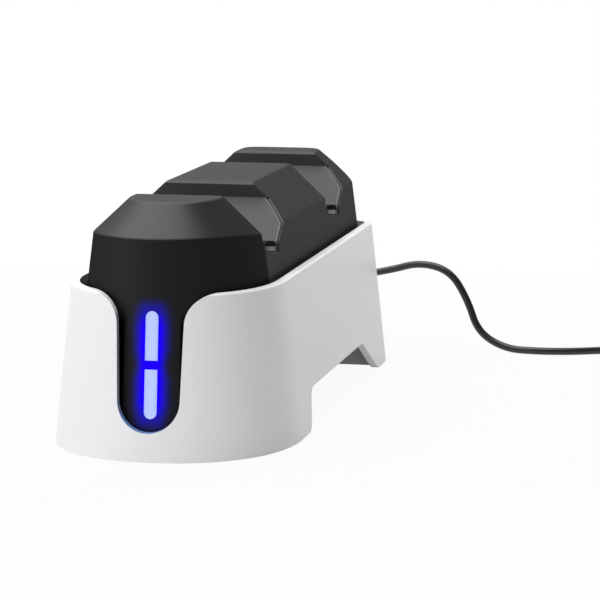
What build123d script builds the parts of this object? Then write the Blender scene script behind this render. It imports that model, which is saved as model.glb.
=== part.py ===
from build123d import *
import os
from dataclasses import dataclass
from math import cos, pi, radians, sin, tan

# Dock for two game controllers, in millimetres. The nose with the light bars looks along -Y,
# the table is z = 0 and the origin lies under the middle of the shell.

# White shell
shell_length = 206.0
shell_width = 80.6
rim_height = 52.3
rim_round = 0.9
shell_wall = 2.6
shell_lift = 0.3              # clear of the table, the rubber feet carry it
shell_side_draft = 6.2
shell_front_draft = 6.3
shell_rear_draft = 1.3
nose_length = 46.0            # the nose curves over this length, ahead of the straight flanks
tail_length = 13.0            # and the rear corners over this
nose_fullness = 0.61          # 0.55 is elliptical, 1 is square
tail_fullness = 0.88

# U-shaped cut in the nose
cut_bottom = 9.3
cut_half_width = 10.1
cut_mouth_half_width = 10.8
cut_shoulder = 9.5            # radius that leads the cut into the rim

# Arches in the flanks
arch_top = 13.6
arch_from_nose = 60.4         # foot of the arch's steep front end
arch_from_tail = 26.5         # foot of its long rear slope
arch_front_lean = 5.4
arch_rear_lean = 23.8
arch_corner = 5.0
arch_foot_corner = 5.5

# Ledge that carries the base plate
ledge_bottom = 15.0
ledge_thickness = 2.0
ledge_width = 7.0
ear_radius = 5.0
ledge_bite = 0.2              # into the shell's wall

# Black core
core_height = 79.4
core_wall = 2.0
core_side_gap = 2.7           # to the shell, at the rim
core_end_gap = 1.0
core_side_draft = 7.2
top_half_width = 14.5
top_front_setback = 13.0      # from the core's own front at the rim
top_rear_setback = 0.6
top_nose_length = 18.6
top_tail_length = 9.0
top_tail_fullness = 0.9
top_round = 2.6
crease_round = 1.2
roof_angle = 46.9
roof_depth = 30.0             # far enough down to pass the crease
tongue_bottom = 6.0           # the front of the core reaches down behind the U-cut
tongue_depth = 24.0

# Cradle slots
front_slot_from_nose = 63.4   # to the slot's middle
rear_slot_from_tail = 41.8
slot_half_width = 20.6
slot_depth = 20.4
slot_flat_front = -6.8        # flat of the floor, from the slot's middle
slot_flat_rear = 0.0
rest_foot = 0.5               # leaning rest face, from the slot's middle and above its floor
rest_foot_rise = 3.4
rest_heel = 12.2              # from here the rest curves up to the band
rest_heel_rise = 9.4
band_height = 5.2             # plain wall above the liner
front_foot = -18.0
front_foot_rise = 2.6
front_crest_rise = 6.2
step_depth = 1.0              # step along the top of the rear wall
liner_thickness = 0.8
liner_inset = 0.5             # from the core's outer skin
pocket_half_width = 2.15
pocket_inset = 2.9            # from the core's flank to the middle of a pocket
pocket_depth = 1.8
pocket_pitch = 4.9
pockets_per_side = 2
pocket_tab_width = 2.7
pocket_tab_height = 1.3
pocket_tab_depth = 0.8

# Terminal blocks, sprung pins and their boards
block_length = 28.0
block_width = 6.0
block_rise = 3.0              # above the slot floor
block_clearance = 0.15
block_corner = 1.5
block_chamfer = 0.8
flange_length = 44.0
flange_width = 9.0
flange_thickness = 3.2
flange_corner = 2.0
pin_spacing = 14.0
pin_radius = 1.0
pin_clearance = 0.05
pin_rise = 1.6
pin_tail = 1.2                # below the collar
collar_radius = 1.5
collar_clearance = 0.08
collar_thickness = 1.1
collar_drop = 4.5             # below the top of the block
contact_board_thickness = 1.2
terminal_screw_spacing = 38.0
terminal_screw_radius = 1.0
terminal_screw_depth = 1.8
terminal_head_radius = 1.9
terminal_head_height = 1.2

# Base plate and boards
plate_thickness = 2.0
plate_clearance = 0.4
web_thickness = 2.0
web_lift = 0.9
web_setback = 2.0             # behind the foot of the arches
case_screw_inset = 5.25       # from the inside of the core's flank
case_screw_from_nose = 40.0
case_screw_from_tail = 35.0
case_screw_radius = 1.5
case_screw_length = 16.0
case_head_radius = 2.8
case_head_height = 1.8
screw_slack = 0.2
screw_grip = 0.05             # a shank is this much thinner than its hole
boss_radius = 3.5
boss_height = 26.0
board_width = 40.0
board_length = 56.0
board_thickness = 1.6
standoff_height = 4.0
standoff_radius = 2.6
board_corner = 2.0
board_screw_inset = 4.0
board_screw_radius = 1.1
board_screw_gap = 0.6         # between the screw's end and the bottom of its hole
board_head_radius = 2.0
board_head_height = 1.4
chip_size = 7.0
chip_height = 1.2
chip_place = (-6.0, 6.0)      # places on the board are from its middle
inductor_size = 8.0
inductor_height = 4.5
inductor_corner = 1.2
inductor_place = (9.0, -8.0)
capacitor_radius = 3.0
capacitor_height = 8.0
capacitor_places = ((-8.0, -16.0), (0.5, -16.0))
header_length = 8.0
header_width = 4.5
header_height = 5.5
header_places = ((-8.0, 22.0), (6.0, 22.0), (-12.0, -6.0), (12.0, 8.0))
small_corner = 0.4

# Light bars
bar_width = 4.0
bar_gap = 2.9
bar_length = 15.3
bar_bottom = 13.2
bar_clearance = 0.08
bar_tail = 2.0                # behind the front wall
bar_cut_depth = 14.0
holder_width = 10.0
holder_margin = 2.5
holder_depth = 7.0
holder_clearance = 0.05
holder_bar_clearance = 0.4
light_board_thickness = 1.2
led_size = 2.4
led_height = 1.0

# Rubber feet
foot_radius = 4.5
foot_thickness = 2.5
foot_boss_radius = 5.5
foot_front_inset = 8.9        # from the inside of the shell's flank
foot_front_from_nose = 51.0
foot_rear_inset = 6.4
foot_rear_from_tail = 14.0

# Lead: gland, route on the table, coil, tie and plug
cord_diameter = 2.8
cord_exit_height = 28.0
gland_radius = 3.2
gland_flange_radius = 5.0
gland_flange_thickness = 2.0
gland_collar_radius = 4.6
gland_collar_thickness = 1.8
gland_collar_gap = 0.1
gland_root_radius = 3.7
gland_sleeve_length = 10.0
gland_tip_radius = 2.2
gland_hole_length = 60.0
gland_slack = 0.25            # between the flange and the curved wall
coil_diameter = 30.8
coil_middle = (158.0, 150.0)
coil_section = 8.4
coil_corner = 2.7
tie_width = 5.0
tie_thickness = 0.8
tie_slack = 0.5
tie_gap = 0.02
tie_corner = 2.4
plug_length = 20.0
plug_width = 12.6
plug_height = 7.0
plug_corner = 1.8
plug_neck_length = 8.0
plug_neck_width = 8.8
plug_neck_height = 5.6
plug_neck_corner = 1.6
plug_shell_length = 12.0
plug_shell_width = 12.0
plug_shell_height = 4.5
plug_shell_wall = 0.4
plug_shell_floor = 1.5
plug_tongue_length = 9.5
plug_tongue_height = 1.8

reach = 400.0                 # well past the part, for blocks that cut
past = 1.0                    # how far a cut runs past what it cuts
touching = 0.02
half_length = shell_length / 2
side_start = nose_length - half_length
side_end = half_length - tail_length
arch_front_foot = arch_from_nose - half_length
arch_rear_foot = half_length - arch_from_tail
slot_floor = core_height - slot_depth
ledge_top = ledge_bottom + ledge_thickness
plate_top = ledge_top + plate_thickness
band_bottom = core_height - band_height
slots = {"front": front_slot_from_nose - half_length, "rear": half_length - rear_slot_from_tail}
slot_middle = sum(slots.values()) / 2
sides = {"left": -1, "right": 1}


@dataclass
class DraftedBody:
    """Moulded plan shape with a rounded nose and tail, known at one height and drafted from there."""
    height: float
    half_width: float
    front: float
    rear: float
    side_start: float
    side_end: float
    side_draft: float
    front_draft: float
    rear_draft: float
    tail_fullness: float = tail_fullness

    def outline(self, z, inset=0.0):
        half_width = self.side_at(z, inset)
        front, rear = self.end_at(z, "front", inset), self.end_at(z, "rear", inset)
        left_front, right_front = (-half_width, self.side_start, z), (half_width, self.side_start, z)
        left_rear, right_rear = (-half_width, self.side_end, z), (half_width, self.side_end, z)
        nose = end_curves(half_width, self.side_start, front, nose_fullness, z)
        tail = end_curves(-half_width, self.side_end, rear, self.tail_fullness, z)
        return make_face([*nose, Line(right_front, right_rear), *tail, Line(left_rear, left_front)])

    def solid(self, bottom, top, inset=0.0):
        return loft([self.outline(bottom, inset), self.outline(top, inset)], ruled=True)

    def side_at(self, z, inset=0.0):
        """Half width at height z."""
        return self.half_width + (self.height - z) * tan(radians(self.side_draft)) - inset

    def end_at(self, z, end, inset=0.0):
        """Y of the nose or tail tip at height z."""
        fall = self.height - z
        if end == "front":
            return self.front - fall * tan(radians(self.front_draft)) + inset
        return self.rear + fall * tan(radians(self.rear_draft)) - inset


def end_curves(half_width, start, tip, fullness, z):
    """Rounded end in two halves, from the left flank to the tip and on to the right flank."""
    reach = start + (tip - start) * fullness
    points = [(half_width, start), (half_width, reach), (half_width * fullness, tip), (0, tip)]
    left = Bezier(*[(-x, y, z) for x, y in points])
    right = Bezier(*[(x, y, z) for x, y in reversed(points)])
    return [left, right]


def block(x, y, z):
    """Box from three (low, high) pairs."""
    low, high = [min(v) for v in (x, y, z)], [max(v) for v in (x, y, z)]
    size = [b - a for a, b in zip(low, high)]
    return Pos(*low) * Box(*size, align=Align.MIN)


def across(width, middle=0.0):
    return middle - width / 2, middle + width / 2


def rod(x, y, bottom, top, radius):
    return Pos(x, y, bottom) * Cylinder(radius, top - bottom, align=(Align.CENTER, Align.CENTER, Align.MIN))


def rounded_box(x, y, z, radius, axis=Axis.Z):
    box = block(x, y, z)
    return fillet(box.edges().filter_by(axis), radius)


shell_form = DraftedBody(
    0.0, shell_width / 2, -half_length, half_length, side_start, side_end,
    shell_side_draft, shell_front_draft, shell_rear_draft)
rim_half_width = shell_width / 2 - rim_height * tan(radians(shell_side_draft))
core_front = shell_form.end_at(rim_height, "front", shell_wall + core_end_gap)
core_rear = shell_form.end_at(rim_height, "rear", shell_wall + core_end_gap)
core_form = DraftedBody(
    rim_height, rim_half_width - shell_wall - core_side_gap, core_front, core_rear, side_start, side_end,
    core_side_draft, shell_front_draft, shell_rear_draft)
top_front = core_front + top_front_setback
top_rear = core_rear - top_rear_setback
roof_form = DraftedBody(
    core_height, top_half_width, top_front, top_rear,
    top_front + top_nose_length, top_rear - top_tail_length,
    roof_angle, roof_angle, roof_angle, top_tail_fullness)


def core_solid(bottom, inset=0.0, edge_round=0.0):
    """Drafted walls cut off by the sloping roof, which leaves the crease between them."""
    walls = core_form.solid(bottom, core_height - inset, inset)
    roof_inset = inset / cos(radians(roof_angle))         # level shift that leaves an even wall on the slope
    roof = roof_form.solid(core_height - roof_depth, core_height, roof_inset)
    if edge_round:
        roof = fillet(roof.faces().sort_by(Axis.Z)[-1].edges(), edge_round)
    skirt_top = core_height - roof_depth + past
    skirt = core_form.solid(bottom, skirt_top)
    body = walls & (roof + skirt)
    if edge_round:
        low, high = skirt_top + crease_round, core_height - edge_round
        crease = [e for e in body.edges() if all(low < p.Z < high for p in points_of(e))]
        body = fillet(crease, crease_round)
    return body


def points_of(edge):
    return [edge @ share for share in (0, 0.5, 1)]


def slot_profile(middle, grow=0.0):
    """Y-Z section of a cradle slot, open at the top: upright band, curved rest, floor and front foot."""
    above = core_height + slot_depth
    corners = [
        (slot_half_width, above), (-slot_half_width, above),
        (-slot_half_width, slot_floor + front_crest_rise), (front_foot, slot_floor + front_foot_rise),
        (slot_flat_front, slot_floor), (slot_flat_rear, slot_floor),
        (rest_foot, slot_floor + rest_foot_rise), (rest_heel, slot_floor + rest_heel_rise)]
    points = [(middle + y, z) for y, z in corners]
    crest = middle + slot_half_width, band_bottom
    lean = Vector(*points[-1]) - Vector(*points[-2])
    cove = TangentArc(points[-1], crest, tangent=lean)
    face = make_face([Polyline(*points), cove, Line(crest, points[0])])
    return offset(face, grow, kind=Kind.INTERSECTION) if grow else face


def rest_seat(middle):
    """Section of the slot with room for its liner, between the floor and the band and behind the step."""
    corner = middle + slot_flat_rear, slot_floor
    window = Pos(*corner) * Rectangle(reach, band_bottom - slot_floor, align=Align.MIN)
    return slot_profile(middle, liner_thickness) & window


def slot_cut(middle, grow=0.0):
    """What a slot takes out of the core: its own section and the seat of its liner."""
    seat = rest_seat(middle)
    lip, above = middle + slot_half_width, core_height + slot_depth
    step = Polygon(
        (lip - step_depth, core_height - 2 * step_depth), (lip + step_depth, core_height),
        (lip + step_depth, above), (lip - step_depth, above), align=None)
    face = slot_profile(middle) + seat + step
    if grow:
        face = offset(face, grow, kind=Kind.INTERSECTION)
    return extrude(Plane.YZ * face, shell_width, both=True)


def pocket_places():
    outer = core_form.side_at(slot_floor) - pocket_inset
    return [side * (outer - i * pocket_pitch) for side in sides.values() for i in range(pockets_per_side)]


def pocket(x, middle):
    """Arch-topped pocket in the step at the foot of a rest face."""
    radius = pocket_half_width
    straight = rest_foot_rise - radius
    face = Pos(x, slot_floor) * (
        Pos(0, straight / 2) * Rectangle(2 * radius, straight) + Pos(0, straight) * Circle(radius))
    start, end = middle + slot_flat_rear - liner_thickness, middle + slot_flat_rear + pocket_depth
    return extrude(Plane((0, start, 0), x_dir=(1, 0, 0), z_dir=(0, -1, 0)) * face, start - end)


def pocket_tab(x, middle):
    """Small stop that stands at the back of a pocket."""
    back = middle + slot_flat_rear + pocket_depth
    return block(across(pocket_tab_width, x), (back - pocket_tab_depth, back + touching),
                 (slot_floor - touching, slot_floor + pocket_tab_height))


def make_shell():
    outer = shell_form.solid(shell_lift, rim_height)
    outer = fillet(outer.faces().sort_by(Axis.Z)[-1].edges(), rim_round)
    inner = shell_form.solid(shell_lift - past, rim_height + past, shell_wall)
    shell = outer - inner
    below, apart = shell_lift - arch_top, 2 * arch_foot_corner
    arch = Polygon(
        (arch_front_foot - apart, below), (arch_front_foot - apart, shell_lift),
        (arch_front_foot, shell_lift), (arch_front_foot + arch_front_lean, arch_top),
        (arch_rear_foot - arch_rear_lean, arch_top), (arch_rear_foot, shell_lift),
        (arch_rear_foot + apart, shell_lift), (arch_rear_foot + apart, below), align=None)
    arch = fillet(arch.vertices().group_by(Axis.Y)[-1].sort_by(Axis.X)[0], arch_corner)
    feet = arch.vertices().filter_by_position(Axis.Y, shell_lift, shell_lift).sort_by(Axis.X)[1:-1]
    arch = fillet(feet, arch_foot_corner)
    shell -= extrude(Plane.YZ * arch, shell_width, both=True)

    inside = shell_form.solid(shell_lift, rim_height - past, shell_wall - ledge_bite)
    opening = shell_form.solid(ledge_bottom - past, ledge_top + past, shell_wall + ledge_width)
    ledge = inside & block((-reach, reach), (tongue_back() + past, half_length), (ledge_bottom, ledge_top))
    ledge -= opening
    for x, y in case_screw_places():
        ledge += inside & rod(x, y, ledge_bottom, ledge_top, ear_radius)
    web_y = web_place()
    ledge -= block((-reach, reach), (web_y - past, web_y + web_thickness + past), (0, ledge_top + past))
    for x, y in foot_places():
        ledge += inside & rod(x, y, shell_lift, ledge_top, foot_boss_radius)
    shell += ledge
    for x, y in case_screw_places():
        shell -= rod(x, y, 0, rim_height, case_screw_radius + screw_slack)
    for x, y in foot_places():
        shell -= rod(x, y, 0, foot_thickness, foot_radius + screw_slack / 2)
    shell -= gland_hole()
    cut_middle = cut_bottom + cut_half_width
    shoulder, above = rim_height - cut_shoulder, rim_height + cut_shoulder
    mouth = cut_mouth_half_width + cut_shoulder
    bend = cut_shoulder * (1 - cos(pi / 4)), cut_shoulder * sin(pi / 4)
    edges = [
        ThreePointArc((-cut_half_width, cut_middle), (0, cut_bottom), (cut_half_width, cut_middle)),
        Line((cut_half_width, cut_middle), (cut_mouth_half_width, shoulder)),
        ThreePointArc((cut_mouth_half_width, shoulder), (cut_mouth_half_width + bend[0], shoulder + bend[1]),
                      (mouth, rim_height)),
        Line((mouth, rim_height), (mouth, above)), Line((mouth, above), (-mouth, above)),
        Line((-mouth, above), (-mouth, rim_height)),
        ThreePointArc((-mouth, rim_height), (-cut_mouth_half_width - bend[0], shoulder + bend[1]),
                      (-cut_mouth_half_width, shoulder)),
        Line((-cut_mouth_half_width, shoulder), (-cut_half_width, cut_middle))]
    u_cut = extrude(Plane.XZ * make_face(edges), reach)
    return shell - (u_cut & block((-reach, reach), (-reach, side_start), (0, reach)))


def tongue_back():
    return core_form.end_at(plate_top, "front") + tongue_depth


def web_place():
    """Front face of the cross web, level with the rear ends of the arches."""
    return arch_rear_foot + web_setback


def case_screw_places():
    x = core_form.side_at(plate_top, core_wall) - case_screw_inset
    rows = case_screw_from_nose - half_length, half_length - case_screw_from_tail
    return [(s * x, y) for y in rows for s in sides.values()]


def foot_places():
    flank = shell_width / 2 - shell_wall
    rows = [(flank - foot_front_inset, foot_front_from_nose - half_length),
            (flank - foot_rear_inset, half_length - foot_rear_from_tail)]
    return [(s * x, y) for x, y in rows for s in sides.values()]


def gland_hole():
    hole = Cylinder(gland_radius + screw_slack / 2, gland_hole_length)
    return Pos(0, half_length, cord_exit_height) * Rot(90, 0, 0) * hole


def make_core():
    outer = core_solid(tongue_bottom, edge_round=top_round)
    cavity = core_solid(tongue_bottom + core_wall, core_wall)
    for middle in slots.values():
        outer -= slot_cut(middle)
        cavity -= slot_cut(middle, core_wall)
    back = tongue_back()
    under_plate = block((-reach, reach), (back - core_wall, half_length), (0, plate_top))
    core = outer - (cavity - under_plate)
    core -= block((-reach, reach), (back, half_length), (0, plate_top))
    for x, y in case_screw_places():
        boss = rod(x, y, plate_top, plate_top + boss_height, boss_radius)
        core += boss & outer
        end = plate_top + case_screw_length - plate_thickness
        core -= rod(x, y, plate_top - past, end, case_screw_radius)
    for middle in slots.values():
        for x in pocket_places():
            core -= pocket(x, middle)
            core += pocket_tab(x, middle)
        core -= terminal_opening(middle)
        for x, y in terminal_screw_places(middle):
            end = flange_top() + terminal_screw_depth
            core -= rod(x, y, flange_top() - past, end, terminal_screw_radius)
    for name in ("upper", "lower"):
        core -= bar_prism(name, bar_clearance)
    return core - gland_hole()


def flange_top():
    return slot_floor - core_wall


def terminal_middle(middle):
    return middle + (slot_flat_front + slot_flat_rear) / 2


def terminal_opening(middle):
    y = terminal_middle(middle)
    half_x, half_y = block_length / 2 + block_clearance, block_width / 2 + block_clearance
    return block((-half_x, half_x), (y - half_y, y + half_y), (flange_top() - past, slot_floor + block_rise))


def terminal_screw_places(middle):
    return [(s * terminal_screw_spacing / 2, terminal_middle(middle)) for s in sides.values()]


def make_liner(middle):
    section = rest_seat(middle) - slot_profile(middle)
    liner = extrude(Plane.YZ * section, shell_width, both=True)
    liner &= core_solid(tongue_bottom, liner_inset)
    for x in pocket_places():
        liner -= pocket(x, middle)
    return liner


def make_terminal_block(middle):
    y = terminal_middle(middle)
    top = slot_floor + block_rise
    body = rounded_box(across(block_length), across(block_width, y),
                       (flange_top() - flange_thickness, top), block_corner)
    body = chamfer(body.faces().sort_by(Axis.Z)[-1].edges(), block_chamfer)
    body += rounded_box(across(flange_length), across(flange_width, y),
                        (flange_top() - flange_thickness, flange_top()), flange_corner)
    for x in pin_places():
        body -= rod(x, y, 0, top + past, pin_radius + pin_clearance)
        body -= rod(x, y, 0, top - collar_drop, collar_radius + collar_clearance)
    for x, screw_y in terminal_screw_places(middle):
        body -= rod(x, screw_y, 0, top, terminal_screw_radius + screw_slack)
    return body


def pin_places():
    return [s * pin_spacing / 2 for s in sides.values()]


def make_pin(middle, side):
    x, y = side * pin_spacing / 2, terminal_middle(middle)
    top = slot_floor + block_rise
    collar_top = top - collar_drop - pin_clearance
    tail = collar_top - collar_thickness - pin_tail
    pin = rod(x, y, tail, top + pin_rise, pin_radius)
    pin = fillet(pin.edges().sort_by(Axis.Z)[-1], pin_radius * 0.8)
    return pin + rod(x, y, collar_top - collar_thickness, collar_top, collar_radius)


def make_contact_board(middle):
    y = terminal_middle(middle)
    top = flange_top() - flange_thickness
    board = rounded_box(across(flange_length), across(flange_width, y),
                        (top - contact_board_thickness, top), flange_corner)
    for x, screw_y in terminal_screw_places(middle):
        board -= rod(x, screw_y, 0, core_height, terminal_screw_radius + screw_slack)
    return board


def screw(x, y, seat, reach, radius, head_radius, head_height):
    """Pan-head screw driven up from below: the head hangs under the seat."""
    head = rod(x, y, seat - head_height, seat, head_radius)
    head = fillet(head.edges().sort_by(Axis.Z)[0], head_height * 0.5)
    return head + rod(x, y, seat, reach, radius)


def make_base_plate():
    inside = shell_form.solid(shell_lift, rim_height - past, shell_wall + plate_clearance)
    front = tongue_back() + plate_clearance
    plate = inside & block((-reach, reach), (front, half_length), (ledge_top, plate_top))
    web_y = web_place()
    plate += inside & block((-reach, reach), (web_y, web_y + web_thickness), (web_lift, ledge_top))
    for x, y in board_screw_places():
        plate += rod(x, y, plate_top, plate_top + standoff_height, standoff_radius)
        plate -= rod(x, y, plate_top, plate_top + standoff_height + past, board_screw_radius)
    for x, y in case_screw_places():
        plate -= rod(x, y, 0, core_height, case_screw_radius + screw_slack)
    for x, y in foot_places():
        plate -= rod(x, y, 0, ledge_top, foot_boss_radius + plate_clearance)
    return plate


def board_screw_places():
    dx, dy = board_width / 2 - board_screw_inset, board_length / 2 - board_screw_inset
    return [(sx * dx, slot_middle + sy * dy) for sx in (-1, 1) for sy in (-1, 1)]


def board_level():
    return plate_top + standoff_height


def make_main_board():
    low = board_level()
    board = rounded_box(across(board_width),
                        across(board_length, slot_middle),
                        (low, low + board_thickness), board_corner)
    for x, y in board_screw_places():
        board -= rod(x, y, 0, core_height, board_screw_radius + screw_slack)
    return board


def on_board(place, length, width, height, radius=small_corner):
    """Part standing on the main board, placed from the board's middle."""
    x, y = place
    low = board_level() + board_thickness
    return rounded_box(across(length, x), across(width, slot_middle + y),
                       (low, low + height), radius)


def make_capacitors():
    low = board_level() + board_thickness
    high = low + capacitor_height
    return [rod(x, slot_middle + y, low, high, capacitor_radius) for x, y in capacitor_places]


def bar_prism(name, grow=0.0):
    """Light bar as a prism through the front wall, round at its outer end."""
    radius = bar_width / 2
    if name == "lower":
        low, high, end = bar_bottom + radius, bar_bottom + bar_length, bar_bottom + radius
    else:
        low = bar_bottom + bar_length + bar_gap
        high = end = low + bar_length - radius
    face = Pos(0, (low + high) / 2) * Rectangle(bar_width, high - low) + Pos(0, end) * Circle(radius)
    if grow:
        face = offset(face, grow)
    back = core_form.end_at(bar_bottom, "front") + bar_cut_depth
    return extrude(Plane.XZ * face, half_length) & block((-reach, reach), (-half_length, back), (0, rim_height))


def wall_layer(outer_inset, inner_inset):
    """Skin of the core's front between two depths."""
    low = tongue_bottom + core_wall
    inner = core_form.solid(low - past, rim_height + past, inner_inset)
    return core_form.solid(low, rim_height, outer_inset) - inner


def light_span():
    return bar_bottom - holder_margin, bar_bottom + 2 * bar_length + bar_gap + holder_margin


def make_light_holder():
    low, high = light_span()
    front = core_form.end_at(low, "front")
    back = light_back()
    holder = block(across(holder_width), (front - core_wall, back), (low, high))
    holder &= core_form.solid(low - past, high + past, core_wall + holder_clearance)
    for name in ("upper", "lower"):
        holder -= bar_prism(name, holder_bar_clearance)
    return holder


def light_back():
    """Y of the face that carries the light board, behind the leaning front wall."""
    return core_form.end_at(light_span()[1], "front", core_wall) + holder_depth


def make_light_board():
    low, high = light_span()
    back = light_back()
    return block(across(holder_width), (back, back + light_board_thickness), (low, high))


def make_leds():
    back = light_back()
    leds = []
    for base in (bar_bottom, bar_bottom + bar_length + bar_gap):
        for share in (0.3, 0.7):
            z = base + share * bar_length
            leds.append(block(across(led_size), (back - led_height, back), across(led_size, z)))
    return leds


def make_gland():
    """Turned about the lead's axis: inner flange, neck through both walls, collar and tapering sleeve."""
    inner = core_form.end_at(cord_exit_height, "rear", core_wall)
    outer = shell_form.end_at(cord_exit_height, "rear")
    collar = outer + gland_collar_thickness
    tip = collar + gland_sleeve_length
    profile = Polygon(
        (0, inner - gland_flange_thickness), (gland_flange_radius, inner - gland_flange_thickness),
        (gland_flange_radius, inner - gland_slack), (gland_radius, inner - gland_slack),
        (gland_radius, outer + gland_collar_gap), (gland_collar_radius, outer + gland_collar_gap),
        (gland_collar_radius, collar), (gland_root_radius, collar),
        (gland_tip_radius, tip), (0, tip), align=None)
    return Pos(0, 0, cord_exit_height) * revolve(profile, Axis.Y)


def cord_start():
    return shell_form.end_at(cord_exit_height, "rear") + gland_collar_thickness + gland_sleeve_length


def cord_path(points):
    """Straight runs joined by arcs that are as large as the runs allow."""
    vectors = [Vector(*p) for p in points]
    radii = []
    for a, b, c in zip(vectors, vectors[1:], vectors[2:]):
        turn = radians((b - a).get_angle(c - b))
        radii.append(0.45 * min((b - a).length, (c - b).length) / tan(turn / 2))
    print("cord radii", [round(r, 1) for r in radii])
    return FilletPolyline(*points, radius=radii)


def cord_tube(points):
    path = cord_path(points)
    tube = sweep(Plane(path @ 0, z_dir=path % 0) * Circle(cord_diameter / 2), path=path)
    ideal = pi * cord_diameter ** 2 / 4 * path.length
    print("cord length", round(path.length, 1), "volume ratio", round(tube.volume / ideal, 4))
    return tube


table = cord_diameter / 2
lead_points = [
    (0, cord_start(), cord_exit_height), (0, cord_start() + 12.0, cord_exit_height),
    (9.6, 136.0, 27.6), (22.8, 138.6, 25.9), (35.0, 134.8, 28.7), (46.4, 130.6, 32.4),
    (58.8, 127.6, 30.0),
    (66.0, 125.8, 19.0), (70.2, 124.0, 7.2), (81.0, 121.6, table), (93.5, 118.6, table),
    (106.5, 120.4, table), (119.0, 126.2, table), (131.0, 130.6, table), (144.0, 134.2, table),
    (157.0, 134.6, table + tie_thickness)]
tail_points = [
    (173.4, 150.0, table), (174.0, 161.5, table), (172.4, 173.0, table + 0.4),
    (168.6, 184.0, plug_height / 2), (163.6, 194.5, plug_height / 2)]


def make_coil():
    radius = coil_diameter / 2
    section = RectangleRounded(coil_section, coil_section, coil_corner)
    ring = revolve(Plane.XZ * Pos(radius, coil_section / 2) * section, Axis.Z)
    return Pos(*coil_middle, tie_thickness) * ring


def make_tie():
    """Strap round the bundle of turns."""
    across = coil_section + tie_width ** 2 / (4 * (coil_diameter - coil_section)) + tie_slack
    frame = RectangleRounded(across + 2 * tie_thickness, coil_section + 2 * tie_thickness, tie_corner)
    frame -= Rectangle(across, coil_section + 2 * tie_gap)
    strap = extrude(Plane.XZ * frame, tie_width / 2, both=True)
    return Pos(coil_middle[0] - coil_diameter / 2, coil_middle[1], coil_section / 2 + tie_thickness) * strap


def plug_plane():
    """Frame of the plug: X along the lead's end, Z up, origin where the lead enters."""
    a, b = Vector(*tail_points[-2]), Vector(*tail_points[-1])
    return Plane(b, x_dir=b - a, z_dir=(0, 0, 1))


def plug_block(start, length, width, height):
    """Box on the plug's axis."""
    return Pos(start, 0, 0) * Box(length, width, height, align=(Align.MIN, Align.CENTER, Align.CENTER))


def make_plug_body():
    shoulder = RectangleRounded(plug_neck_width, plug_neck_height, plug_neck_corner)
    neck = loft([Plane.YZ * Circle(gland_tip_radius), Plane.YZ.offset(plug_neck_length) * shoulder])
    grip = plug_block(plug_neck_length, plug_length, plug_width, plug_height)
    grip = fillet(grip.edges().filter_by(Axis.X), plug_corner)
    return plug_plane() * (neck + grip)


def make_plug_shell():
    start = plug_neck_length + plug_length
    shell = plug_block(start, plug_shell_length, plug_shell_width, plug_shell_height)
    inner_width, inner_height = (v - 2 * plug_shell_wall for v in (plug_shell_width, plug_shell_height))
    hollow = plug_block(start + plug_shell_floor, plug_shell_length, inner_width, inner_height)
    tongue = plug_block(start + plug_shell_floor, plug_tongue_length, inner_width, plug_tongue_height)
    tongue = Pos(0, 0, (plug_tongue_height - inner_height) / 2) * tongue
    return plug_plane() * (shell - hollow + tongue)


parts = {
    "outer_shell": make_shell(),
    "core_housing": make_core(),
    "base_plate": make_base_plate(),
    "main_board": make_main_board(),
    "control_chip": on_board(chip_place, chip_size, chip_size, chip_height),
    "power_coil": on_board(inductor_place, inductor_size, inductor_size, inductor_height, inductor_corner),
    "filter_capacitors": make_capacitors(),
    "wire_headers": [on_board(place, header_length, header_width, header_height) for place in header_places],
    "light_holder": make_light_holder(),
    "light_board": make_light_board(),
    "status_leds": make_leds(),
    "upper_light_bar": bar_prism("upper") & wall_layer(0.0, core_wall + bar_tail),
    "lower_light_bar": bar_prism("lower") & wall_layer(0.0, core_wall + bar_tail),
    "rubber_feet": [rod(x, y, 0, foot_thickness, foot_radius) for x, y in foot_places()],
    "case_screws": [
        screw(x, y, ledge_bottom, ledge_bottom + case_screw_length, case_screw_radius - screw_grip,
              case_head_radius, case_head_height)
        for x, y in case_screw_places()],
    "board_screws": [
        Pos(x, y, board_level() + board_thickness) * Rot(180, 0, 0) * screw(
            0, 0, 0, board_thickness + standoff_height - board_screw_gap, board_screw_radius - screw_grip,
            board_head_radius, board_head_height)
        for x, y in board_screw_places()],
    "cord_gland": make_gland(),
    "power_cord": cord_tube(lead_points),
    "cord_coil": make_coil(),
    "cord_tail": cord_tube(tail_points),
    "cord_tie": make_tie(),
    "plug_body": make_plug_body(),
    "plug_shell": make_plug_shell(),
}
terminal_screws = []
for place, middle in slots.items():
    parts[f"cradle_{place}"] = make_liner(middle)
    parts[f"terminal_block_{place}"] = make_terminal_block(middle)
    parts[f"contact_board_{place}"] = make_contact_board(middle)
    for name, side in sides.items():
        parts[f"contact_pin_{place}_{name}"] = make_pin(middle, side)
    seat = flange_top() - flange_thickness - contact_board_thickness
    for x, y in terminal_screw_places(middle):
        terminal_screws.append(screw(
            x, y, seat, flange_top() + terminal_screw_depth - 2 * screw_grip,
            terminal_screw_radius - screw_grip, terminal_head_radius, terminal_head_height))
parts["terminal_screws"] = terminal_screws

os.makedirs("parts", exist_ok=True)
for name, shape in parts.items():
    solid = Compound(children=list(shape)) if isinstance(shape, list) else shape
    export_step(solid, f"parts/{name}.step")
    print(name, round(solid.volume, 1))
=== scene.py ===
from math import cos, e, pi, radians, sin

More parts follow.
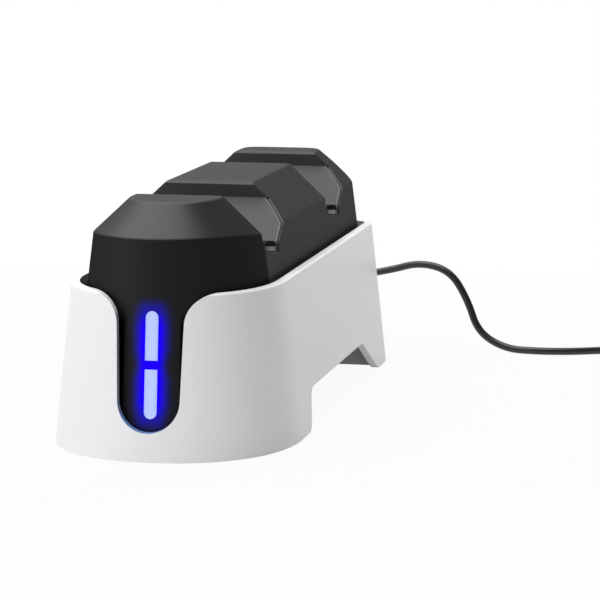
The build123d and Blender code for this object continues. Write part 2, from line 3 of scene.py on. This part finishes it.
import bpy
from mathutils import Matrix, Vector


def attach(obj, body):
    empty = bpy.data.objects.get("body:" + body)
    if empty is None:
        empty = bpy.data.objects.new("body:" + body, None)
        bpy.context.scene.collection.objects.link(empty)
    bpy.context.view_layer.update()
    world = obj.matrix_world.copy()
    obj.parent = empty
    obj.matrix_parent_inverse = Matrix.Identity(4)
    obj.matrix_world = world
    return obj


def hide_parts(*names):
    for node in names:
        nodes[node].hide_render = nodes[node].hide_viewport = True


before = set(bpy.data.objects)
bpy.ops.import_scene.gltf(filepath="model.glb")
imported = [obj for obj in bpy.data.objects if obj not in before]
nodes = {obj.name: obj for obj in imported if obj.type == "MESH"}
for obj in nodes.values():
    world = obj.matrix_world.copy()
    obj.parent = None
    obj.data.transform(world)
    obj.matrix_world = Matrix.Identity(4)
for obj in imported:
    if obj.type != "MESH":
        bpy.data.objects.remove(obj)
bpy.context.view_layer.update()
mm = 0.001
print("frame loaded:", len(nodes), "pieces")


# camera at the photograph's place
cameraPlan = {
    "azimuth": 12.05, "elevation": 8.81,            # degrees round the dock and above the table
    "target": (0.0, 10.1 * mm, 40.0 * mm),
    "distance": 987.45 * mm, "aside": 24.34 * mm, "lower": 5.46 * mm,
    "lens": 170.4,                                  # mm on a 36 mm sensor
}


def makeCamera(plan):
    turn, rise = radians(plan["azimuth"]), radians(plan["elevation"])
    back = Vector((sin(turn) * cos(rise), -cos(turn) * cos(rise), sin(rise)))
    right = Vector((cos(turn), sin(turn), 0))
    up = back.cross(right)
    data = bpy.data.cameras.new("photoCamera")
    data.lens = plan["lens"]
    data.sensor_width = 36
    camera = bpy.data.objects.new("photoCamera", data)
    camera.location = Vector(plan["target"]) + back * plan["distance"]
    camera.location += right * plan["aside"] - up * plan["lower"]
    camera.rotation_mode = "QUATERNION"
    camera.rotation_quaternion = (-back).to_track_quat("-Z", "Y")
    bpy.context.collection.objects.link(camera)
    bpy.context.scene.camera = camera


makeCamera(cameraPlan)
print("camera set")


# shader sums: a Wire is a socket that can stand in a Python expression
class Wire:
    def __init__(self, finish, socket):
        self.finish, self.socket = finish, socket

    def maths(self, operation, *values):
        return self.finish.node("ShaderNodeMath", {"operation": operation}, dict(enumerate(values)))

    def __add__(self, other):
        return self.maths("ADD", self, other)

    def __radd__(self, other):
        return self.maths("ADD", other, self)

    def __sub__(self, other):
        return self.maths("SUBTRACT", self, other)

    def __rsub__(self, other):
        return self.maths("SUBTRACT", other, self)

    def __mul__(self, other):
        return self.maths("MULTIPLY", self, other)

    def __rmul__(self, other):
        return self.maths("MULTIPLY", other, self)

    def __truediv__(self, other):
        return self.maths("DIVIDE", self, other)

    def __rtruediv__(self, other):
        return self.maths("DIVIDE", other, self)

    def __pow__(self, other):
        return self.maths("POWER", self, other)

    def __rpow__(self, other):
        return self.maths("POWER", other, self)

    def __lt__(self, other):
        return self.maths("LESS_THAN", self, other)

    def __gt__(self, other):
        return self.maths("GREATER_THAN", self, other)

    def __abs__(self):
        return self.maths("ABSOLUTE", self)

    def atLeast(self, other):
        return self.maths("MAXIMUM", self, other)

    def atMost(self, other):
        return self.maths("MINIMUM", self, other)


class Finish:                                        # a material and the nodes it is made of
    def __init__(self, name, tree=None):
        if tree is None:
            self.material = bpy.data.materials.new(name)
            self.material.use_nodes = True
            tree = self.material.node_tree
        self.tree = tree
        self.tree.nodes.clear()

    def node(self, kind, settings=None, inputs=None, output=0):
        made = self.tree.nodes.new(kind)
        for name, value in (settings or {}).items():
            setattr(made, name, value)
        for name, value in (inputs or {}).items():
            if isinstance(value, Wire):
                self.tree.links.new(value.socket, made.inputs[name])
            else:
                made.inputs[name].default_value = value
        return Wire(self, made.outputs[output]) if len(made.outputs) else made

    def mix(self, share, first, second):             # two colours
        return self.node("ShaderNodeMix", {"data_type": "RGBA"}, {0: share, 6: first, 7: second}, 2)

    def place(self):                                 # x, y, z on the dock, in millimetres
        spot = self.node("ShaderNodeTexCoord", output="Object")
        grown = self.node("ShaderNodeVectorMath", {"operation": "SCALE"}, {0: spot, "Scale": 1000.0})
        return grown, [self.node("ShaderNodeSeparateXYZ", None, {0: grown}, axis) for axis in "XYZ"]

    def facing(self):                                # x, y, z of the surface's direction
        way = self.node("ShaderNodeNewGeometry", output="Normal")
        return [self.node("ShaderNodeSeparateXYZ", None, {0: way}, axis) for axis in "XYZ"]

    def noise(self, spot, size, detail=2.0):         # size of its patches in millimetres
        return self.node("ShaderNodeTexNoise", None, {"Vector": spot, "Scale": 1 / size, "Detail": detail})

    def bump(self, height, depth):                   # depth in millimetres
        return self.node("ShaderNodeBump", None, {"Height": height, "Strength": 1.0, "Distance": depth * mm})

    def close(self, sheen=None, **sockets):          # principled surface, named by its sockets
        shader = self.node("ShaderNodeBsdfPrincipled", None, {k.replace("_", " "): v for k, v in sockets.items()})
        if sheen:                                    # an even gloss over it: share, roughness
            gloss = self.node("ShaderNodeBsdfGlossy", None, {
                "Color": grey(1.0), "Roughness": sheen[1], "Normal": sockets["Normal"]})
            shader = self.node("ShaderNodeMixShader", None, {0: sheen[0], 1: shader, 2: gloss})
        self.node("ShaderNodeOutputMaterial", None, {"Surface": shader})
        return self.material


def grey(level, blue=0.0):
    return (level, level, level * (1 + blue), 1.0)


def dress(material, *names):
    for name in names:
        for slot in nodes[name].material_slots:
            slot.material = material


# white moulding of the shell; the lips of the nose cut get painted shade above and painted blue light from the bars
# below
shellLook = {
    "tone": 0.86, "paintedUpTone": 0.97, "cool": 0.022, "grain": 0.35, "grainDepth": 0.004, "gloss": 0.36,
    "cloud": 40.0, "paintedUpFrom": 0.4, "paintedUpFade": 0.3,   # painted light: faces that look up, such as the shell's top edge, are painted whiter
    "lipHalfWidth": 13.0, "lipBack": -86.0, "lipTop": 46.0, "lipFacing": -0.6,
    "lipShade": grey(0.4, 0.02), "lipLit": (0.2, 0.36, 0.7, 1.0),
    "litFrom": 20.0, "litOver": 7.0,                # painted bar light from this height down
}


def shellWhite(look):
    f = Finish("shellWhite")
    spot, (x, y, z) = f.place()
    _, along, up = f.facing()
    grain = f.noise(spot, look["grain"], 3.0)
    cloud = f.noise(spot, look["cloud"])
    tone = f.mix(cloud, grey(look["tone"] - 0.008, look["cool"]), grey(look["tone"], look["cool"]))
    # painted light: faces that look up are painted whiter
    paintedUpLight = ((up - look["paintedUpFrom"]) / look["paintedUpFade"]).atLeast(0.0).atMost(1.0)
    tone = f.mix(paintedUpLight, tone, grey(look["paintedUpTone"]))
    # painted shade on the lips of the nose cut, with painted blue light from the bars on their lower part
    lip = (abs(x) < look["lipHalfWidth"]) * (y < look["lipBack"]) * (z < look["lipTop"])
    lip = lip * (along > look["lipFacing"])
    lit = ((look["litFrom"] - z) / look["litOver"]).atLeast(0.0).atMost(1.0)
    tone = f.mix(lip, tone, f.mix(lit, look["lipShade"], look["lipLit"]))
    return f.close(
        Base_Color=tone, Roughness=look["gloss"] + 0.08 * (grain - 0.5),
        Normal=f.bump(grain, look["grainDepth"]))


# black moulding of the core: darker smooth front (a separate moulded piece, with painted shade on its right-facing
# faces), painted blue glow round the bars with painted shadow beside the nose cut, and painted light where it faces
# up
coreLook = {
    "tone": 0.024, "panelTone": 0.008, "paintedTopTone": 0.05, "tabTone": 0.45, "grain": 0.28, "grainDepth": 0.01,
    "sheen": 0.041, "panelSheen": 0.014, "sheenRough": 0.48, "panelEdge": -57.0, "panelFade": 2.0,
    "barHalfWidth": 2.0, "bars": (13.2, 46.7),
    "glow": 1.1, "glowReach": 2.4, "endGlow": 0.3, "endFade": 5.0,        # strength, and mm from a bar's edge
    "waist": 0.75, "waistReach": 4.5,                                      # the glow is narrower between the bars
    "lipShadowFrom": 8.7, "lipShadowFade": 0.7, "lipShadowTop": 47.0, "lipShadowRise": 5.0,   # painted shadow beside the lips of the nose cut
    "noseFrom": -80.0, "panelBelow": 0.4, "rightShadeFrom": 0.25, "rightShadeFade": 0.35, "rightShadeShare": 0.6,
    "paintedTopFrom": 75.0, "paintedTopFacing": 0.82, "paintedTopFade": 0.12, "cloud": 30.0,
    "tabs": {
        "rows": (-38.4, 62.4), "halfDepth": 0.85, "top": 60.4, "height": 1.6, "aside": 22.95, "halfWidth": 4.2},
}


def coreBlack(look):
    f = Finish("coreBlack")
    spot, (x, y, z) = f.place()
    across, _, up = f.facing()
    nose = y < look["noseFrom"]
    grain = f.noise(spot, look["grain"], 3.0)
    cloud = f.noise(spot, look["cloud"])
    aside = (abs(x) - look["barHalfWidth"]).atLeast(0.0)
    low, high = look["bars"]
    above = (abs(z - (low + high) / 2) - (high - low) / 2).atLeast(0.0)
    away = aside * aside + above * above
    within = ((high - low) / 2 - abs(z - (low + high) / 2)) / look["endFade"]
    ends = look["endGlow"] + (1 - look["endGlow"]) * within.atLeast(0.0).atMost(1.0)
    waist = 1 + look["waist"] * (1 - abs(z - (low + high) / 2) / look["waistReach"]).atLeast(0.0)
    # painted glow: emission on the black core round the bars, standing in for the bars' light spreading over it
    glow = look["glow"] * ends * e ** (away * waist * (-1.0 / look["glowReach"] ** 2))
    glow = glow.atMost(1.0) * nose
    # painted shadow beside the lips of the nose cut
    lipShadow = ((abs(x) - look["lipShadowFrom"]) / look["lipShadowFade"]).atLeast(0.0).atMost(1.0) * nose
    lipShadow = lipShadow * ((look["lipShadowTop"] - z) / look["lipShadowRise"]).atLeast(0.0).atMost(1.0)
    # the base turns near black and loses its sheen under the painted glow and the painted shadow
    paintedGlowAndShadow = glow.atLeast(lipShadow)
    # darker front: a separate smooth moulded piece, plus painted shade on the front block's right-facing faces
    panelAndShade = ((look["panelEdge"] - y) / look["panelFade"]).atLeast(0.0).atMost(1.0)
    rightShade = ((across - look["rightShadeFrom"]) / look["rightShadeFade"]).atLeast(0.0).atMost(look["rightShadeShare"])
    panelAndShade = panelAndShade * (up < look["panelBelow"]).atLeast(rightShade)
    # painted light: faces that look up, above this height, are painted paler
    top = ((up - look["paintedTopFacing"]) / look["paintedTopFade"]).atLeast(0.0).atMost(1.0) * (z > look["paintedTopFrom"])
    # pale tabs in the pockets: their own light grey, lifted further as painted light against the pocket's shade
    tabs = look["tabs"]
    tab = (z < tabs["top"]) * (z > tabs["top"] - tabs["height"])
    tab = tab * (abs(abs(x) - tabs["aside"]) < tabs["halfWidth"])
    tab = tab * sum(abs(y - row) < tabs["halfDepth"] for row in tabs["rows"])
    tone = f.mix(cloud, grey(look["tone"] * 0.92), grey(look["tone"]))
    for share, level in ((panelAndShade, "panelTone"), (top, "paintedTopTone"), (tab, "tabTone")):
        tone = f.mix(share, tone, grey(look[level]))
    sheen = (look["sheen"] + (look["panelSheen"] - look["sheen"]) * panelAndShade) * (1 - paintedGlowAndShadow)
    return f.close(
        sheen=(sheen, look["sheenRough"]),
        Base_Color=f.mix(paintedGlowAndShadow, tone, grey(0.0008)), Roughness=0.7 + 0.14 * (grain - 0.5), Specular_IOR_Level=0.0,
        Normal=f.bump(grain, look["grainDepth"]),
        Emission_Color=f.mix(glow, (0, 0, 0, 1), (0.012, 0.0, 1.0, 1.0)), Emission_Strength=1.0)


# grey rests: ends painted black as painted shade in the grooves, and a painted highlight along their edges
restLook = {
    "tone": 0.068, "grain": 0.4, "grainDepth": 0.01, "rough": 0.6, "edgeHighlightTone": 0.2, "edgeHighlightWidth": 0.55,
    "flank": (28.82, 52.3, 0.1263), "roof": (13.77, 79.4, 1.0686),   # half width at a height, and growth downwards
}


def restGrey(look):
    f = Finish("restGrey")
    spot, (x, y, z) = f.place()
    grain = f.noise(spot, look["grain"], 3.0)
    # painted shade: end faces of the rest, down in the grooves, are painted black
    ends = abs(f.facing()[0]) > 0.4
    flank, roof = (half + (height - z) * growth for half, height, growth in (look["flank"], look["roof"]))
    # painted highlight in a band along the rest's edges
    edgeHighlightMask = (1.0 - (flank.atMost(roof) - abs(x)) / look["edgeHighlightWidth"]).atLeast(0.0).atMost(1.0)
    tone = f.mix(edgeHighlightMask, f.mix(grain, grey(look["tone"] * 0.94), grey(look["tone"])), grey(look["edgeHighlightTone"]))
    return f.close(
        Base_Color=f.mix(ends, tone, grey(0.008)), Roughness=look["rough"] + 0.1 * (grain - 0.5),
        Normal=f.bump(grain, look["grainDepth"]), Specular_IOR_Level=0.3)


# plain mouldings, metals and rubbers: tone, roughness, grain size and depth
plainLooks = {
    "baseDark": {"colour": grey(0.5), "rough": 0.5, "grain": 0.4, "depth": 0.01},
    "terminalBlack": {"colour": grey(0.02), "rough": 0.42, "grain": 0.3, "depth": 0.006},
    "pinGold": {"colour": (0.83, 0.62, 0.27, 1), "rough": 0.22, "grain": 0.1, "depth": 0.002, "metal": 1.0},
    "boardGreen": {"colour": (0.02, 0.13, 0.05, 1), "rough": 0.35, "grain": 1.5, "depth": 0.01},
    "chipBlack": {"colour": grey(0.025), "rough": 0.5, "grain": 0.2, "depth": 0.006},
    "canSilver": {"colour": grey(0.7), "rough": 0.3, "grain": 0.2, "depth": 0.003, "metal": 1.0},
    "innerWhite": {"colour": grey(0.75), "rough": 0.5, "grain": 0.4, "depth": 0.006},
    "ledLens": {"colour": (0.8, 0.83, 0.92, 1), "rough": 0.2, "grain": 0.4, "depth": 0.002},
    "footRubber": {"colour": grey(0.03), "rough": 0.75, "grain": 0.25, "depth": 0.02},
    "screwZinc": {"colour": grey(0.6), "rough": 0.32, "grain": 0.2, "depth": 0.004, "metal": 1.0},
    "sheathBlack": {"colour": grey(0.014), "rough": 0.3, "grain": 0.5, "depth": 0.006},
    "strapBlack": {"colour": grey(0.02), "rough": 0.45, "grain": 0.5, "depth": 0.01},
    "plugSteel": {"colour": grey(0.68), "rough": 0.28, "grain": 0.2, "depth": 0.003, "metal": 1.0},
}


def plainFinish(name):
    look = plainLooks[name]
    f = Finish(name)
    spot, _ = f.place()
    grain = f.noise(spot, look["grain"], 3.0)
    cloud = f.noise(spot, 12.0)
    colour = look["colour"]
    darker = tuple(v * 0.9 for v in colour[:3]) + (1,)
    return f.close(
        Base_Color=f.mix(cloud, darker, colour), Metallic=look.get("metal", 0.0),
        Roughness=look["rough"] + 0.1 * (grain - 0.5), Normal=f.bump(grain, look["depth"]))


# lit diffuser bars
barLook = {"middle": (0.44, 0.54, 0.98, 1), "edge": (0.34, 0.4, 0.97, 1), "halfWidth": 2.0}


def barLit(look):
    f = Finish("barLit")
    spot, (x, y, z) = f.place()
    edge = (abs(x) / look["halfWidth"]) ** 3.0
    cloud = f.noise(spot, 3.0)
    light = f.mix((edge * 0.8 + 0.3 * (cloud - 0.5)).atLeast(0.0), look["middle"], look["edge"])
    return f.close(
        Base_Color=(0.05, 0.06, 0.14, 1), Roughness=0.3, Emission_Color=light, Emission_Strength=1.0)


finishes = {name: plainFinish(name) for name in plainLooks}
dress(shellWhite(shellLook), "outer_shell")
dress(coreBlack(coreLook), "core_housing")
dress(barLit(barLook), "upper_light_bar", "lower_light_bar")
dress(restGrey(restLook), "cradle_front", "cradle_rear")
dress(finishes["baseDark"], "base_plate")
dress(finishes["terminalBlack"], "terminal_block_front", "terminal_block_rear")
for slot in ("front", "rear"):
    dress(finishes["pinGold"], f"contact_pin_{slot}_left", f"contact_pin_{slot}_right")
dress(finishes["boardGreen"], "main_board", "light_board", "contact_board_front", "contact_board_rear")
dress(finishes["chipBlack"], "control_chip", "power_coil")
dress(finishes["canSilver"], "filter_capacitors")
dress(finishes["innerWhite"], "wire_headers", "light_holder")
dress(finishes["ledLens"], "status_leds")
dress(finishes["footRubber"], "rubber_feet")
dress(finishes["screwZinc"], "case_screws", "board_screws", "terminal_screws")
dress(finishes["sheathBlack"], "cord_gland", "plug_body")
dress(finishes["strapBlack"], "cord_tie")
dress(finishes["plugSteel"], "plug_shell")
print("finishes made:", len(bpy.data.materials))


# lead: out of the gland, down to the table, coiled out of view and on to its plug
leadPlan = {
    "diameter": 2.8, "table": 1.4,
    "route": [
        (0, 114.165, 28.0), (0, 126.165, 28.0), (9.6, 136.0, 27.6), (22.8, 138.6, 25.9), (35.0, 134.8, 28.7),
        (46.4, 130.6, 32.4), (58.8, 127.6, 30.0), (66.0, 125.8, 19.0), (70.2, 124.0, 7.2), (81.0, 121.6, 1.4),
        (93.5, 118.6, 1.4), (106.5, 120.4, 1.4), (119.0, 126.2, 1.4), (131.0, 129.6, 1.4), (144.0, 131.6, 1.6)],
    "tail": [
        (176.6, 161.5, 6.4), (174.2, 173.0, 3.6), (168.6, 184.0, 3.5), (163.6, 194.5, 3.5)],
    "coilMiddle": (158.0, 150.0), "coilRadius": 15.4, "coilFloor": 2.2,
    "cells": [(1, 0), (0, 0), (-1, 0), (-1, 1), (-1, 2), (0, 2), (0, 1), (1, 1), (1, 2)],   # out and up
    "turn": 315.0, "crossing": 40.0, "start": -90.0, "last": 90.0, "pointsPerTurn": 18,
}


def coilPoints(plan):                                # turns side by side, each crossing to the next in its own place
    step = 360.0 / plan["pointsPerTurn"]
    swell = 1 / cos(pi / plan["pointsPerTurn"])      # the spline runs inside its points
    cells, whole = plan["cells"], plan["turn"] * (len(plan["cells"]) - 1) + plan["last"]
    made = []
    for i in range(int(whole / step) + 1):
        gone = i * step
        turn = min(int((gone + plan["crossing"] / 2) / plan["turn"]), len(cells) - 1)
        share = 1.0
        if turn:
            share = min(max((gone - turn * plan["turn"]) / plan["crossing"] + 0.5, 0.0), 1.0)
            share = share * share * (3 - 2 * share)
        old, new = cells[max(turn - 1, 0)], cells[turn]
        out, lift = (a + (b - a) * share for a, b in zip(old, new))
        radius = (plan["coilRadius"] + out * plan["diameter"]) * swell
        angle = radians(plan["start"] + gone)
        made.append((plan["coilMiddle"][0] + radius * cos(angle), plan["coilMiddle"][1] + radius * sin(angle),
                     plan["coilFloor"] + lift * plan["diameter"]))
    return made


def makeLead(plan):
    points = plan["route"] + coilPoints(plan) + plan["tail"]
    curve = bpy.data.curves.new("powerLead", "CURVE")
    curve.dimensions = "3D"
    curve.bevel_depth = plan["diameter"] / 2 * mm
    curve.bevel_resolution = 5
    curve.resolution_u = 8
    spline = curve.splines.new("NURBS")
    spline.points.add(len(points) - 1)
    for spot, point in zip(spline.points, points):
        spot.co = (*[v * mm for v in point], 1.0)
    spline.order_u = 3
    spline.use_endpoint_u = True
    lead = bpy.data.objects.new("powerLead", curve)
    bpy.context.collection.objects.link(lead)
    lead.data.materials.append(finishes["sheathBlack"])
    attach(lead, "dock")
    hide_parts("power_cord", "cord_coil", "cord_tail")
    [v * mm for v in points[0]]
    plan["diameter"] * mm
    return lead


makeLead(leadPlan)
print("lead laid")


# studio: pale floor, soft lamps and a white surround that is dim towards the room in front
studio = {
    "floorSize": 12.0, "floorTone": 0.55, "floorGlow": 0.94, "fadeFrom": 0.16, "fadeOver": 0.22,
    "ambient": 0.155, "frontFill": 1.64, "frontNarrow": 3.5, "front": (0.02, -1.0, 0.0),
    "dimTowards": (0.75, -0.65, 0.0), "dimTo": 0.12,
    "lamps": {
        "topSoft": {"at": (-0.26, 0.05, 0.97), "towards": (0, 0, 0.05), "size": (1.1, 1.1), "power": 11.0},
        "leftSoft": {"at": (-0.75, -0.64, 0.5), "towards": (0, -0.05, 0.04), "size": (0.8, 0.8), "power": 2.7},
        "backSoft": {"at": (0.34, 1.0, 0.3), "towards": (0, 0.05, 0.04), "size": (0.6, 0.6), "power": 5.4,
                     "mirrored": False},
    },
}


def raysOf(f, *kinds):                               # 1 for rays of these kinds
    share = 0.0
    for kind in kinds:
        share = f.node("ShaderNodeLightPath", output=f"Is {kind} Ray") + share
    return share.atMost(1.0)


def makeStudio(plan):
    half = plan["floorSize"] / 2
    mesh = bpy.data.meshes.new("floor")
    mesh.from_pydata([(-half, -half, 0), (half, -half, 0), (half, half, 0), (-half, half, 0)], [], [(0, 1, 2, 3)])
    floor = bpy.data.objects.new("floor", mesh)
    bpy.context.collection.objects.link(floor)
    f = Finish("paleFloor")
    spot = f.node("ShaderNodeTexCoord", output="Object")
    far = f.node("ShaderNodeVectorMath", {"operation": "LENGTH"}, {0: spot}, 1)
    fade = ((far - plan["fadeFrom"]) / plan["fadeOver"]).atLeast(0.0).atMost(1.0)
    glow = plan["floorGlow"] + (1 - plan["floorGlow"]) * fade
    matt = f.node("ShaderNodeBsdfDiffuse", None, {"Color": grey(plan["floorTone"])})
    white = f.node("ShaderNodeEmission", None, {"Color": grey(1.0), "Strength": 1.0})
    share = raysOf(f, "Camera", "Glossy", "Transmission") * glow
    f.node("ShaderNodeOutputMaterial", None, {
        "Surface": f.node("ShaderNodeMixShader", None, {0: share, 1: matt, 2: white})})
    mesh.materials.append(f.material)

    world = bpy.data.worlds.new("surround")
    world.use_nodes = True
    bpy.context.scene.world = world
    f = Finish("surround", world.node_tree)
    towards = f.node("ShaderNodeTexCoord", output="Generated")
    lean = {name: f.node("ShaderNodeVectorMath", {"operation": "DOT_PRODUCT"}, {0: towards, 1: plan[name]}, 1)
            for name in ("front", "dimTowards")}
    soft = plan["ambient"] + plan["frontFill"] * lean["front"].atLeast(0.0) ** plan["frontNarrow"]
    mirrored = 1.0 - (1 - plan["dimTo"]) * (lean["dimTowards"] * 1.2 + 0.5).atLeast(0.0).atMost(1.0)
    camera, mirror = raysOf(f, "Camera"), raysOf(f, "Glossy", "Transmission")
    strength = (soft + (mirrored - soft) * mirror).atLeast(camera)
    sky = f.node("ShaderNodeBackground", None, {"Color": grey(1.0), "Strength": strength})
    f.node("ShaderNodeOutputWorld", None, {"Surface": sky})

    for name, lamp in plan["lamps"].items():
        data = bpy.data.lights.new(name, "AREA")
        data.shape = "RECTANGLE"
        data.size, data.size_y = lamp["size"]
        data.energy = lamp["power"]
        light = bpy.data.objects.new(name, data)
        light.visible_glossy = lamp.get("mirrored", True)
        light.location = lamp["at"]
        light.rotation_mode = "QUATERNION"
        light.rotation_quaternion = (Vector(lamp["towards"]) - Vector(lamp["at"])).to_track_quat("-Z", "Y")
        bpy.context.collection.objects.link(light)
    bpy.context.scene.view_settings.view_transform = "Standard"


makeStudio(studio)
print("studio lit")
